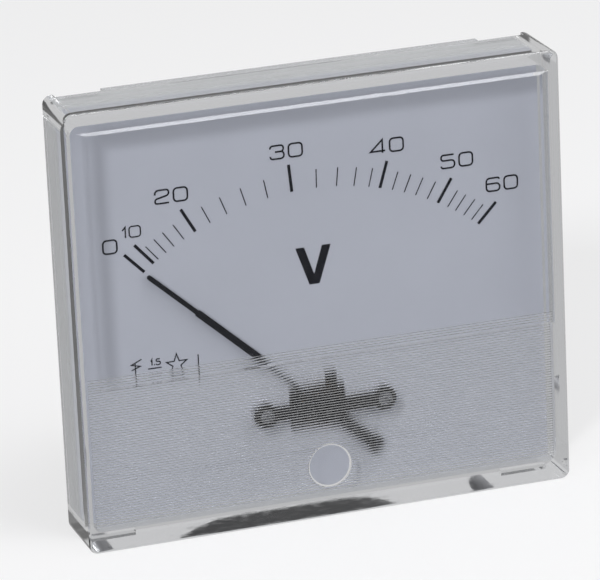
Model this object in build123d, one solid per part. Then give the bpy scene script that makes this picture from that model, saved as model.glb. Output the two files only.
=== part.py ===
from build123d import *
from math import cos, radians, sin, sqrt
import os

# Moving-iron panel voltmeter with a clear front cover and a rounded square body behind the panel
# Millimetres. The origin is the middle of the panel seating plane, +X right and +Z up as seen
# from the front, and the front faces -Y

# Front cover: clear moulded cap, open at the rear
cover_width = 90.0
cover_height = 80.0
cover_depth = 13.5
cover_corner_r = 1.6
cover_edge_r = 0.5
side_wall = 1.6
end_wall = 3.0
front_wall = 4.0
cavity_corner_r = 1.6

# Smooth window: a raised panel on the upper part of the front, with sloping edges
window_height = 0.5
window_margin_x = 2.0
window_margin_top = 3.55
window_rise = 10.4
window_slope = 45.0
window_side_slope = 75.0

# Lens ribs across the lower part of the front wall's inside, and the blank boss among them
rib_pitch = 0.47
rib_height = 0.15
rib_root = 0.3
rib_rise = 11.75
rib_gap = 0.5
boss_d = 8.0
boss_rise = 8.6
boss_height = 0.7
boss_edge_r = 0.35

# Relief notches on the rear edge of the top and bottom walls
notch_depth = 0.5
notch_width = 8.6
notch_length = 1.6
notch_x = 38.8

# Base frame: shallow tray that closes the cover from behind, stepped in where the dial seats
fit_gap = 0.1
frame_floor = 2.2
frame_rim = 2.0
frame_hollow_r = 1.0
frame_step_depth = 4.5
dial_gap = 0.3
stud_boss_r = 3.7
stud_boss_height = 2.0

# Rear drum: deep cup of rounded square section that passes through the panel
drum_margin = 7.7
drum_corner_r = 22.0
drum_wall = 1.8
drum_length = 20.0
drum_end = 2.0
drum_edge_r = 2.0
flange_lip = 2.0
flange_corner_r = 14.0
flange_thick = 1.4
drum_screw_inset = 2.55
drum_screw_r = 1.1
drum_screw_head_r = 2.1
drum_screw_head = 1.0
drum_screw_grip = 1.6

# Dial plate
dial_depth = 7.4
dial_thick = 0.6
dial_side_gap = 0.4
dial_corner_r = 1.2
dial_opening_x = -0.2
dial_opening_width = 10.5
dial_opening_height = 7.8
dial_opening_r = 0.8
dial_slot_width = 2.3
dial_slot_gap = 0.8

# Movement: pivot axis, plate, posts and front bridge
pivot_x = 0.55
coil_clearance = 0.25
plate_end_gap = 2.0
plate_height = 11.0
plate_thick = 1.1
plate_corner_r = 3.0
plate_screw_inset = 2.3
plate_screw_r = 1.2
plate_screw_head_r = 2.2
plate_screw_head = 0.6
plate_screw_grip = 1.0
post_x = 11.0
post_foot_r = 3.0
post_neck_r = 2.1
post_rivet_r = 1.5
bridge_lift = 1.6
bridge_thick = 0.8
bridge_bar_height = 2.8
bridge_eye_r = 2.2
bridge_hub_r = 2.8
bridge_screw_r = 0.7
bridge_screw_head_r = 1.3
bridge_screw_head = 0.55
bridge_screw_depth = 2.6
bridge_slot_turns = {-1: 25.0, 1: -40.0}
screw_slot_width = 0.4
screw_slot_share = 0.5
thread_gap = 0.05

# Bearings
jewel_screw_r = 1.25
jewel_screw_front = 0.6
jewel_screw_rear = 0.2
jewel_r = 0.7
jewel_thick = 0.8
jewel_cup = 0.3
jewel_cup_r = 0.34
jewel_cup_tip_r = 0.1
pivot_play = 0.05
lock_nut_flats = 4.2
lock_nut_thick = 0.55
rear_screw_r = 1.5
rear_nut_flats = 5.5
rear_nut_thick = 1.4

# Moving system
spindle_r = 0.5
spindle_tip_r = 0.05
spindle_cone = 0.45
pointer_lift = 0.8
pointer_thick = 0.35
pointer_rest = -47.5
pointer_tip_r = 42.0
pointer_step_r = 30.3
pointer_thin = 0.85
pointer_wide = 1.25
pointer_stem = 0.6
pointer_stem_r = 14.5
pointer_hub_r = 2.2
tail_length = 13.9
tail_width = 2.3
collet_r = 1.2
collet_collar = 0.2
collet_gap = 0.02
weight_wall = 0.3
weight_fit = 0.03
weight_inset = 0.4

# Control spring and the arm that holds its outer end
spring_turns = 4
spring_strip = 0.12
spring_height = 0.35
spring_inner_r = 1.35
spring_pitch = 0.7
spring_arm_gap = 0.15
arm_angle = 20.0
arm_thick = 0.3
arm_ring = 0.8
arm_width = 1.0
arm_length = 5.6
arm_stud_r = 0.35

# Coil and irons
bobbin_flange_r = 9.65
bobbin_front = 1.0
bobbin_rear = 2.0
bobbin_length = 11.5
bobbin_core_r = 6.0
bobbin_bore_r = 5.0
bobbin_boss_r = 2.7
bobbin_boss_bore_r = 1.3
bobbin_end_wall = 1.4
winding_r = 8.7
winding_gap = 0.05
iron_thick = 0.3
iron_length = 6.4
fixed_iron_r = 4.65
fixed_iron_angle = 110.0
moving_iron_r = 3.9
moving_iron_angle = 100.0
carrier_r = 1.3
carrier_web = 1.0

# Air damper behind the coil
damper_lid = 0.8
damper_depth = 4.6
damper_end = 1.4
damper_wall = 1.2
damper_r = 13.6
damper_half_angle = 60.0
damper_hub_r = 2.6
damper_centre_r = 6.0
damper_ear_x = 7.6
damper_ear_r = 2.2
damper_screw_r = 0.8
damper_screw_head_r = 1.5
damper_screw_head = 1.0
damper_screw_grip = 1.5
vane_r = 12.9
vane_thick = 0.3
vane_gap = 0.6

# Terminals on the drum's end
terminal_x = 13.0
terminal_z = 6.0
terminal_r = 2.0
terminal_core_r = 1.6
terminal_head_flats = 7.0
terminal_head = 2.4
terminal_reach = 12.0
terminal_nut_flats = 7.0
terminal_nut = 3.2
terminal_washer_r = 4.5
terminal_washer = 0.8
tag_thick = 0.5
tag_r = 3.4
tag_width = 3.0
tag_rise = 6.4
tag_length = 6.0

# Series resistor and coil leads
resistor_r = 2.8
resistor_length = 14.0
resistor_chamfer = 1.0
resistor_wire_r = 0.4
resistor_wire_end = 3.0
lead_r = 0.45
lead_bend_r = 2.5
lead_rise = 7.0
lead_end_gap = 0.2

# Mounting studs through the panel
stud_inset = 8.5
stud_r = 1.5
stud_collar_r = 1.9
stud_head_r = 2.6
stud_head = 1.0
stud_reach = 18.0

# Densities in grams per cubic millimetre, for the balance of the moving system
aluminium_density = 0.0027
steel_density = 0.00785
brass_density = 0.0085

# Places that follow the cover: drum, flange, pivot and what lines up with them
drum_size = min(cover_width, cover_height) - 2 * drum_margin
flange_size = drum_size + 2 * flange_lip
pivot_z = bobbin_flange_r + coil_clearance + drum_wall - drum_size / 2
drum_screw_offset = (
    flange_size / 2 - flange_corner_r + (flange_corner_r - drum_screw_inset) / sqrt(2)
)
plate_length = flange_size - 2 * plate_end_gap
plate_screw_x = plate_length / 2 - plate_screw_inset
stud_x = cover_width / 2 - stud_inset
stud_z = cover_height / 2 - stud_inset
window_bottom_z = pivot_z + window_rise
rib_top_z = pivot_z + rib_rise
boss_z = boss_rise - cover_height / 2
dial_slot_top_z = pivot_z + arm_length * cos(radians(arm_angle)) + dial_slot_gap
lead_rise_z = pivot_z + winding_r + lead_rise

# Planes along the depth, from the front to the rear
front_y = -cover_depth
wall_y = front_y + front_wall
step_y = -frame_step_depth
dial_front_y = front_y + dial_depth
dial_back_y = dial_front_y + dial_thick
floor_y = -frame_floor
flange_y = floor_y - flange_thick
plate_front_y = flange_y - plate_thick
drum_inner_y = drum_length - drum_end
bridge_back_y = dial_front_y - bridge_lift
bridge_front_y = bridge_back_y - bridge_thick
pointer_back_y = dial_front_y - pointer_lift
pointer_front_y = pointer_back_y - pointer_thick
spring_back_y = dial_front_y - spring_arm_gap
spring_front_y = spring_back_y - spring_height
bobbin_end_y = flange_y + bobbin_length
damper_lid_y = bobbin_end_y + damper_lid
damper_floor_y = damper_lid_y + damper_depth
damper_end_y = damper_floor_y + damper_end

os.makedirs("parts", exist_ok=True)


def facing(y):
    """Drawing plane at depth y, seen from the front: its own X is +X and its own Y is +Z."""
    return Plane(origin=(0, y, 0), x_dir=(1, 0, 0), z_dir=(0, -1, 0))


def slab(outline, back, front):
    """Solid of a front-view outline between two depths."""
    return extrude(facing(back) * outline, amount=back - front)


def cavity_outline(gap, corner_r):
    """The cover's inside in front view, drawn in by a gap all round."""
    width = cover_width - 2 * (side_wall + gap)
    height = cover_height - 2 * (end_wall + gap)
    return RectangleRounded(width, height, corner_r)


def turned(points):
    """Solid of revolution about the pivot axis, from (radius, depth) points."""
    section = make_face(Polyline(*points, close=True))
    return Pos(pivot_x, 0, pivot_z) * revolve(section, Axis.Y)


def at_pivot(outline, turn=0):
    """Front-view outline set on the pivot and turned clockwise by a number of degrees."""
    return Pos(pivot_x, pivot_z) * Rot(0, 0, -turn) * outline


def beside_pivot(outline, x):
    """The same outline at both sides of the pivot, at a distance x."""
    return at_pivot(Pos(-x, 0) * outline + Pos(x, 0) * outline)


def sector(radius, half_angle):
    """Front-view wedge about its own upright line."""
    side = radius * sin(radians(half_angle))
    rise = radius * cos(radians(half_angle))
    edges = [
        Line((0, 0), (-side, rise)),
        ThreePointArc((-side, rise), (0, radius), (side, rise)),
        Line((side, rise), (0, 0)),
    ]
    return make_face(edges)


def hexagon(flats):
    """Hexagon outline, from its width across flats."""
    return RegularPolygon(flats / 2, 6, major_radius=False)


def mirrored_pairs(x, z):
    """The four places that repeat in both directions about the middle."""
    return [(sx * x, sz * z) for sz in (1, -1) for sx in (-1, 1)]


def screw(x, z, shank_r, seat, tip, head_r, head_height, slot_angle=0):
    """Slotted screw along Y: its head stands on the seat, on the side away from the tip."""
    way = 1 if seat > tip else -1
    top = seat + way * head_height
    head = slab(Pos(x, z) * Circle(head_r), max(seat, top), min(seat, top))
    shank = slab(Pos(x, z) * Circle(shank_r), max(seat, tip), min(seat, tip))
    slot_floor = top - way * head_height * screw_slot_share
    slot = Pos(x, z) * Rot(0, 0, slot_angle) * Rectangle(2 * head_r, screw_slot_width)
    return head + shank - slab(slot, max(slot_floor, top), min(slot_floor, top))


def save(shape, node):
    """Write one named piece."""
    shape.label = node
    export_step(shape, f"parts/{node}.step")


# Front cover
def front_cover():
    body = slab(RectangleRounded(cover_width, cover_height, cover_corner_r), 0, front_y)
    front_edges = body.faces().sort_by(Axis.Y)[0].edges()
    body = fillet(front_edges, cover_edge_r)
    body -= slab(cavity_outline(0, cavity_corner_r), 0, wall_y)
    window_top_z = cover_height / 2 - window_margin_top
    window_span = window_top_z - window_bottom_z
    window_place = Pos(0, (window_top_z + window_bottom_z) / 2)
    band = facing(front_y) * window_place * Rectangle(cover_width, window_span)
    column = facing(front_y) * Rectangle(cover_width - 2 * window_margin_x, cover_height)
    panel = extrude(band, amount=window_height, taper=window_slope)
    body += panel & extrude(column, amount=window_height, taper=window_side_slope)
    body += lens_ribs()
    boss_outline = Pos(pivot_x, boss_z) * Circle(boss_d / 2)
    boss = slab(boss_outline, wall_y + boss_height, wall_y - rib_root)
    body += fillet(boss.faces().sort_by(Axis.Y)[-1].edges(), boss_edge_r)
    for side_x in (-1, 1):
        for side_z in (-1, 1):
            notch = Box(notch_width, 2 * notch_length, 2 * notch_depth)
            body -= Pos(side_x * notch_x, 0, side_z * cover_height / 2) * notch
    return body


def lens_ribs():
    bottom = end_wall + rib_gap - cover_height / 2
    count = int((rib_top_z - bottom) / rib_pitch)
    root = wall_y - rib_root
    crest = wall_y + rib_height
    start = side_wall + rib_gap - cover_width / 2
    edges = []
    for i in range(count):
        upper = rib_top_z - i * rib_pitch
        lower = upper - rib_pitch
        middle = (start, crest, (upper + lower) / 2)
        edges.append(ThreePointArc((start, wall_y, upper), middle, (start, wall_y, lower)))
    lowest = rib_top_z - count * rib_pitch
    edges.append(Line((start, wall_y, lowest), (start, root, lowest)))
    edges.append(Line((start, root, lowest), (start, root, rib_top_z)))
    edges.append(Line((start, root, rib_top_z), (start, wall_y, rib_top_z)))
    section = make_face(edges)
    return extrude(section, amount=-2 * start, dir=(1, 0, 0))


# Base frame
def base_frame():
    outer = cavity_outline(fit_gap, cavity_corner_r - fit_gap)
    rim = cavity_outline(dial_gap, cavity_corner_r - dial_gap)
    body = slab(outer, 0, step_y) + slab(rim, step_y, dial_back_y)
    hollow = cavity_outline(dial_gap + frame_rim, frame_hollow_r)
    body -= slab(hollow, floor_y, dial_back_y)
    places = mirrored_pairs(stud_x, stud_z)
    boss_top = floor_y - stud_boss_height
    for x, z in places:
        body += slab(Pos(x, z) * Circle(stud_boss_r), floor_y, boss_top)
    for x, z in places:
        body -= slab(Pos(x, z) * Circle(stud_collar_r + thread_gap), 0, boss_top)
    body -= slab(drum_outline(fit_gap), 0, floor_y)
    for x, z in mirrored_pairs(drum_screw_offset, drum_screw_offset):
        hole = Pos(x, z) * Circle(drum_screw_r + thread_gap)
        body -= slab(hole, floor_y + drum_screw_grip, floor_y)
    return body


# Rear drum
def drum_outline(growth):
    """The drum's rounded square, grown by a margin all round."""
    size = drum_size + 2 * growth
    return RectangleRounded(size, size, drum_corner_r + growth)


def rear_drum():
    cup = slab(drum_outline(0), drum_length, floor_y)
    end_edge = cup.faces().sort_by(Axis.Y)[-1].edges()
    cup = fillet(end_edge, drum_edge_r)
    cup += slab(RectangleRounded(flange_size, flange_size, flange_corner_r), floor_y, flange_y)
    cup -= slab(drum_outline(-drum_wall), drum_inner_y, flange_y)
    for x, z in mirrored_pairs(drum_screw_offset, drum_screw_offset):
        cup -= slab(Pos(x, z) * Circle(drum_screw_r + thread_gap), floor_y, flange_y)
    plate_holes = beside_pivot(Circle(plate_screw_r + thread_gap), plate_screw_x)
    cup -= slab(plate_holes, flange_y + plate_screw_grip, flange_y)
    for side in (-1, 1):
        stud_hole = Pos(side * terminal_x, terminal_z) * Circle(terminal_core_r + thread_gap)
        cup -= slab(stud_hole, drum_length, drum_inner_y)
    return cup


def drum_screws():
    tip = floor_y + drum_screw_grip
    return Compound(children=[
        screw(x, z, drum_screw_r, flange_y, tip, drum_screw_head_r, drum_screw_head)
        for x, z in mirrored_pairs(drum_screw_offset, drum_screw_offset)
    ])


# Dial plate
def dial_plate():
    outline = cavity_outline(dial_side_gap, dial_corner_r)
    opening = RectangleRounded(dial_opening_width, dial_opening_height, dial_opening_r)
    outline -= Pos(dial_opening_x, pivot_z) * opening
    slot_x = pivot_x + arm_length * sin(radians(arm_angle))
    slot = Rectangle(dial_slot_width, dial_slot_top_z - pivot_z)
    outline -= Pos(slot_x, (dial_slot_top_z + pivot_z) / 2) * slot
    outline -= beside_pivot(Circle(post_neck_r + fit_gap), post_x)
    return slab(outline, dial_back_y, dial_front_y)


# Movement plate, posts and bridge
def movement_plate():
    outline = at_pivot(RectangleRounded(plate_length, plate_height, plate_corner_r))
    outline -= at_pivot(Circle(bobbin_boss_r + thread_gap))
    outline -= beside_pivot(Circle(plate_screw_r + thread_gap), plate_screw_x)
    outline -= beside_pivot(Circle(post_rivet_r + thread_gap), post_x)
    return slab(outline, flange_y, plate_front_y)


def plate_screws():
    tip = flange_y + plate_screw_grip
    return Compound(children=[
        screw(pivot_x + side * plate_screw_x, pivot_z, plate_screw_r, plate_front_y, tip,
              plate_screw_head_r, plate_screw_head)
        for side in (-1, 1)
    ])


def bridge_posts():
    posts = []
    for side in (-1, 1):
        spot = Pos(pivot_x + side * post_x, pivot_z)
        post = slab(spot * Circle(post_foot_r), plate_front_y, dial_back_y)
        post += slab(spot * Circle(post_neck_r), dial_back_y, bridge_back_y)
        post += slab(spot * Circle(post_rivet_r), flange_y, plate_front_y)
        bore = bridge_back_y + bridge_screw_depth
        post -= slab(spot * Circle(bridge_screw_r + thread_gap), bore, bridge_back_y)
        posts.append(post)
    return Compound(children=posts)


def bridge_bar():
    outline = at_pivot(Rectangle(2 * post_x, bridge_bar_height) + Circle(bridge_hub_r))
    outline += beside_pivot(Circle(bridge_eye_r), post_x)
    outline -= beside_pivot(Circle(bridge_screw_r + thread_gap), post_x)
    outline -= at_pivot(Circle(jewel_screw_r + thread_gap))
    return slab(outline, bridge_back_y, bridge_front_y)


def bridge_screws():
    tip = bridge_back_y + bridge_screw_depth
    return Compound(children=[
        screw(pivot_x + side * post_x, pivot_z, bridge_screw_r, bridge_front_y, tip,
              bridge_screw_head_r, bridge_screw_head, slot_angle=turn)
        for side, turn in bridge_slot_turns.items()
    ])


# Bearings
front_seat_y = bridge_back_y + jewel_screw_rear
rear_seat_y = damper_floor_y - jewel_screw_rear
front_tip_y = front_seat_y - jewel_cup + pivot_play
rear_tip_y = rear_seat_y + jewel_cup - pivot_play


def jewel_screw(shank_r, seat, far_end):
    """Bearing screw with the jewel's bore in one end and a slot in the other."""
    way = 1 if far_end > seat else -1
    body = slab(at_pivot(Circle(shank_r)), max(seat, far_end), min(seat, far_end))
    bore_end = seat + way * jewel_thick
    body -= slab(at_pivot(Circle(jewel_r)), max(seat, bore_end), min(seat, bore_end))
    slot_floor = far_end - way * screw_slot_width
    slot = at_pivot(Rectangle(2 * shank_r, screw_slot_width))
    return body - slab(slot, max(slot_floor, far_end), min(slot_floor, far_end))


def jewel(seat, way):
    """Bearing jewel with a conical cup on its seat side."""
    far_end = seat + way * jewel_thick
    cup_end = seat + way * jewel_cup
    return turned([
        (0, cup_end), (jewel_cup_tip_r, cup_end), (jewel_cup_r, seat),
        (jewel_r, seat), (jewel_r, far_end), (0, far_end),
    ])


def lock_nut(flats, bore_r, back, front):
    return slab(at_pivot(hexagon(flats) - Circle(bore_r + thread_gap)), back, front)


front_screw_end_y = bridge_front_y - jewel_screw_front
rear_screw_end_y = damper_end_y + rear_nut_thick + jewel_screw_front


# Moving system
def spindle():
    return turned([
        (0, front_tip_y), (spindle_tip_r, front_tip_y),
        (jewel_cup_r - pivot_play - spindle_tip_r, front_seat_y),
        (spindle_r, front_tip_y + spindle_cone),
        (spindle_r, rear_tip_y - spindle_cone),
        (jewel_cup_r - pivot_play - spindle_tip_r, rear_seat_y),
        (spindle_tip_r, rear_tip_y), (0, rear_tip_y),
    ])


def pointer():
    tip_r = pointer_thin / 2
    thin_end = pointer_tip_r - tip_r
    blade = Pos(0, pointer_stem_r / 2) * Rectangle(pointer_stem, pointer_stem_r)
    for width, end in ((pointer_wide, pointer_step_r), (pointer_thin, thin_end)):
        blade += Pos(0, (pointer_stem_r + end) / 2) * Rectangle(width, end - pointer_stem_r)
    blade += Pos(0, thin_end) * Circle(tip_r)
    blade += Pos(0, -tail_length / 2) * Rectangle(tail_width, tail_length)
    blade += Circle(pointer_hub_r)
    blade -= Circle(collet_r + collet_gap)
    return slab(at_pivot(blade, pointer_rest), pointer_back_y, pointer_front_y)


def pointer_collet():
    front = pointer_front_y - collet_collar
    return slab(at_pivot(Circle(collet_r) - Circle(spindle_r + collet_gap)), spring_front_y, front)


def hairspring_collet():
    ring = Circle(collet_r) - Circle(spindle_r + collet_gap)
    return slab(at_pivot(ring), spring_back_y, spring_front_y)


def spiral_edge(radius):
    """Half-circle steps of a flat spiral that starts at the given radius, straight up."""
    points = []
    for i in range(2 * spring_turns + 1):
        points.append((radius + i * spring_pitch / 2) * (1 if i % 2 == 0 else -1))
    return points


def hairspring():
    inner = spiral_edge(spring_inner_r)
    outer = spiral_edge(spring_inner_r + spring_strip)
    edges = []
    for rail in (inner, outer):
        for i in range(len(rail) - 1):
            start = Vector(0, rail[i])
            end = Vector(0, rail[i + 1])
            reach = abs(rail[i] - rail[i + 1]) / 2
            side = reach if i % 2 == 0 else -reach
            edges.append(ThreePointArc(start, Vector(side, (rail[i] + rail[i + 1]) / 2), end))
    edges.append(Line((0, inner[0]), (0, outer[0])))
    edges.append(Line((0, inner[-1]), (0, outer[-1])))
    strip = make_face(edges)
    return slab(at_pivot(strip, arm_angle), spring_back_y, spring_front_y)


spring_outer_r = spring_inner_r + spring_turns * spring_pitch + spring_strip


def spring_arm():
    ring_r = bobbin_boss_r + thread_gap
    outline = Circle(ring_r + arm_ring)
    outline += Pos(0, arm_length / 2) * Rectangle(arm_width, arm_length)
    outline -= Circle(ring_r)
    back = dial_front_y + arm_thick
    arm = slab(at_pivot(outline, arm_angle), back, dial_front_y)
    stud = at_pivot(Pos(0, spring_outer_r + arm_stud_r) * Circle(arm_stud_r), arm_angle)
    return arm + slab(stud, dial_front_y, spring_front_y)


# Coil
def coil_bobbin():
    core_front = flange_y + bobbin_end_wall
    return turned([
        (bobbin_boss_bore_r, dial_front_y), (bobbin_boss_r, dial_front_y),
        (bobbin_boss_r, flange_y), (bobbin_flange_r, flange_y),
        (bobbin_flange_r, flange_y + bobbin_front), (bobbin_core_r, flange_y + bobbin_front),
        (bobbin_core_r, bobbin_end_y - bobbin_rear), (bobbin_flange_r, bobbin_end_y - bobbin_rear),
        (bobbin_flange_r, bobbin_end_y), (bobbin_bore_r, bobbin_end_y),
        (bobbin_bore_r, core_front), (bobbin_boss_bore_r, core_front),
    ]) - slab(
        beside_pivot(Circle(damper_screw_r + thread_gap), damper_ear_x),
        bobbin_end_y,
        bobbin_end_y - damper_screw_grip,
    )


winding_front_y = flange_y + bobbin_front + winding_gap
winding_back_y = bobbin_end_y - bobbin_rear - winding_gap


def coil_winding():
    ring = Circle(winding_r) - Circle(bobbin_core_r + winding_gap)
    return slab(at_pivot(ring), winding_back_y, winding_front_y)


iron_middle_y = flange_y + bobbin_end_wall + (bobbin_length - bobbin_end_wall) / 2
iron_back_y = iron_middle_y + iron_length / 2
iron_front_y = iron_middle_y - iron_length / 2
iron_turn = pointer_rest + 180


def curved_iron(inner_r, angle):
    """Strip of sheet iron rolled to a radius."""
    wedge = sector(2 * (inner_r + iron_thick), angle / 2)
    ring = Circle(inner_r + iron_thick) - Circle(inner_r)
    return slab(at_pivot(ring & wedge, iron_turn), iron_back_y, iron_front_y)


def iron_carrier():
    ring = Circle(carrier_r) - Circle(spindle_r + collet_gap)
    reach = moving_iron_r - spindle_r - collet_gap
    web = Pos(0, moving_iron_r - reach / 2) * Rectangle(carrier_web, reach)
    outline = ring + (web & Circle(moving_iron_r)) - Circle(spindle_r + collet_gap)
    return slab(at_pivot(outline, iron_turn), iron_back_y, iron_front_y)


# Air damper
def damper_room():
    return sector(damper_r, damper_half_angle) + Circle(damper_hub_r)


def damper_outline():
    outline = sector(damper_r, damper_half_angle) + Circle(damper_centre_r)
    outline = offset(outline, amount=damper_wall)
    outline += Rectangle(2 * damper_ear_x, 2 * damper_ear_r)
    for side in (-1, 1):
        outline += Pos(side * damper_ear_x, 0) * Circle(damper_ear_r)
    for side in (-1, 1):
        outline -= Pos(side * damper_ear_x, 0) * Circle(damper_screw_r + thread_gap)
    return outline


def damping_box():
    body = slab(at_pivot(damper_outline()), damper_end_y, damper_lid_y)
    body -= slab(at_pivot(damper_room()), damper_floor_y, damper_lid_y)
    bore = at_pivot(Circle(rear_screw_r + thread_gap))
    return body - slab(bore, damper_end_y, damper_floor_y)


def damping_lid():
    outline = damper_outline() - Circle(bobbin_boss_bore_r)
    return slab(at_pivot(outline), damper_lid_y, bobbin_end_y)


def damping_screws():
    tip = bobbin_end_y - damper_screw_grip
    return Compound(children=[
        screw(pivot_x + side * damper_ear_x, pivot_z, damper_screw_r, damper_end_y, tip,
              damper_screw_head_r, damper_screw_head)
        for side in (-1, 1)
    ])


def damping_vane():
    blade = Pos(0, vane_r / 2) * Rectangle(vane_thick, vane_r)
    outline = blade + Circle(collet_r) - Circle(spindle_r + collet_gap)
    return slab(at_pivot(outline, pointer_rest), damper_floor_y - vane_gap, damper_lid_y + vane_gap)


# Balance weight: a clip at the end of the tail, as long as the moving system needs
def lean(shape, density):
    """Moment of a piece about the pivot along the pointer, in gram millimetres."""
    centre = shape.center(CenterOf.MASS)
    across = centre.X - pivot_x
    rise = centre.Z - pivot_z
    along = across * sin(radians(pointer_rest)) + rise * cos(radians(pointer_rest))
    return shape.volume * density * along


def balance_weight(excess):
    wide = tail_width + 2 * weight_fit
    deep = pointer_thick + 2 * weight_fit
    area = (wide + 2 * weight_wall) * (deep + 2 * weight_wall) - wide * deep
    end_r = tail_length - weight_inset
    length = end_r - sqrt(end_r ** 2 - 2 * excess / (area * brass_density))
    middle = (pointer_back_y + pointer_front_y) / 2
    shell = Rectangle(wide + 2 * weight_wall, length)
    hole = Rectangle(wide, length)
    place = Pos(0, length / 2 - end_r)
    clip = slab(at_pivot(place * shell, pointer_rest),
                middle + deep / 2 + weight_wall, middle - deep / 2 - weight_wall)
    return clip - slab(at_pivot(place * hole, pointer_rest), middle + deep / 2, middle - deep / 2)


# Terminals
def terminal_pair(outline, back, front):
    """The same outline on both terminals."""
    return Compound(children=[
        slab(Pos(side * terminal_x, terminal_z) * outline, back, front) for side in (-1, 1)
    ])


tag_front_y = drum_inner_y - tag_thick
head_front_y = tag_front_y - terminal_head
washer_back_y = drum_length + terminal_washer
nut_back_y = washer_back_y + terminal_nut
clamp_washer_back_y = nut_back_y + terminal_washer
clamp_nut_back_y = clamp_washer_back_y + terminal_nut
stud_end_y = drum_length + terminal_reach


def terminal_studs():
    # Inside the nuts the thread is drawn at its core radius
    studs = []
    for side in (-1, 1):
        spot = Pos(side * terminal_x, terminal_z)
        head = slab(spot * hexagon(terminal_head_flats), tag_front_y, head_front_y)
        gripped = slab(spot * Circle(terminal_core_r), clamp_nut_back_y, tag_front_y)
        studs.append(head + gripped + slab(spot * Circle(terminal_r), stud_end_y, clamp_nut_back_y))
    return Compound(children=studs)


def solder_tags():
    tags = []
    hole = Circle(terminal_core_r + thread_gap)
    for side in (-1, 1):
        spot = Pos(side * terminal_x, terminal_z)
        neck = Pos(0, tag_rise / 2) * Rectangle(tag_width, tag_rise)
        ring = slab(spot * (Circle(tag_r) + neck - hole), drum_inner_y, tag_front_y)
        lug = Pos(0, tag_rise - tag_thick / 2) * Rectangle(tag_width, tag_thick)
        tags.append(ring + slab(spot * lug, tag_front_y, drum_inner_y - tag_length))
    return Compound(children=tags)


# Series resistor, soldered to the left tag, and the coil's two leads
tag_top_z = terminal_z + tag_rise
wire_y = drum_inner_y - tag_length + tag_width / 2
wire_z = tag_top_z + resistor_wire_r
resistor_left_x = -terminal_x + tag_width / 2 + resistor_wire_end
resistor_right_x = resistor_left_x + resistor_length
wire_end_x = resistor_right_x + resistor_wire_end


def series_resistor():
    along = Plane(origin=(resistor_left_x, wire_y, wire_z), z_dir=(1, 0, 0))
    body = extrude(along * Circle(resistor_r), amount=resistor_length)
    body = chamfer(body.edges().filter_by(GeomType.CIRCLE), resistor_chamfer)
    wire_start_x = -terminal_x - tag_width / 2
    wire = Plane(origin=(wire_start_x, wire_y, wire_z), z_dir=(1, 0, 0))
    return body + extrude(wire * Circle(resistor_wire_r), amount=wire_end_x - wire_start_x)


def coil_lead(offset_x, start_y, end_x, end_z):
    """Sleeved wire from the top of the winding up and back to a soldered end."""
    start_x = pivot_x + offset_x
    start_z = pivot_z + sqrt((winding_r + lead_end_gap) ** 2 - offset_x ** 2)
    points = [
        (start_x, start_y, start_z),
        (start_x, start_y, lead_rise_z),
        (end_x, wire_y, (lead_rise_z + end_z) / 2),
        (end_x, wire_y, end_z),
    ]
    path = FilletPolyline(*points, radius=lead_bend_r)
    section = Plane(origin=points[0], z_dir=(0, 0, 1)) * Circle(lead_r)
    return sweep(section, path=path)


# Mounting studs
def mounting_studs():
    seat = floor_y - stud_boss_height
    studs = []
    for x, z in mirrored_pairs(stud_x, stud_z):
        head = slab(Pos(x, z) * Circle(stud_head_r), seat, seat - stud_head)
        collar = slab(Pos(x, z) * Circle(stud_collar_r), 0, seat)
        studs.append(head + collar + slab(Pos(x, z) * Circle(stud_r), stud_reach, 0))
    return Compound(children=studs)


moving_pieces = {
    "pointer": (pointer(), aluminium_density),
    "damping_vane": (damping_vane(), aluminium_density),
    "iron_carrier": (iron_carrier(), aluminium_density),
    "moving_iron": (curved_iron(moving_iron_r, moving_iron_angle), steel_density),
}
excess = sum(lean(shape, density) for shape, density in moving_pieces.values())
for node, (shape, density) in moving_pieces.items():
    save(shape, node)
save(balance_weight(excess), "balance_weight")
save(spindle(), "spindle")
save(pointer_collet(), "pointer_collet")
save(hairspring_collet(), "hairspring_collet")
save(hairspring(), "hairspring")
save(spring_arm(), "spring_arm")

save(front_cover(), "front_cover")
save(base_frame(), "base_frame")
save(rear_drum(), "rear_drum")
save(drum_screws(), "drum_screws")
save(dial_plate(), "dial_plate")
save(movement_plate(), "movement_plate")
save(plate_screws(), "plate_screws")
save(bridge_posts(), "bridge_posts")
save(bridge_bar(), "bridge_bar")
save(bridge_screws(), "bridge_screws")
save(jewel_screw(jewel_screw_r, front_seat_y, front_screw_end_y), "front_jewel_screw")
save(jewel_screw(rear_screw_r, rear_seat_y, rear_screw_end_y), "rear_jewel_screw")
save(lock_nut(lock_nut_flats, jewel_screw_r, bridge_front_y, bridge_front_y - lock_nut_thick),
     "front_lock_nut")
save(lock_nut(rear_nut_flats, rear_screw_r, damper_end_y + rear_nut_thick, damper_end_y),
     "rear_lock_nut")
save(Compound(children=[jewel(front_seat_y, -1), jewel(rear_seat_y, 1)]), "pivot_jewels")

save(coil_bobbin(), "coil_bobbin")
save(coil_winding(), "coil_winding")
save(curved_iron(fixed_iron_r, fixed_iron_angle), "fixed_iron")
save(damping_box(), "damping_box")
save(damping_lid(), "damping_lid")
save(damping_screws(), "damping_screws")

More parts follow.
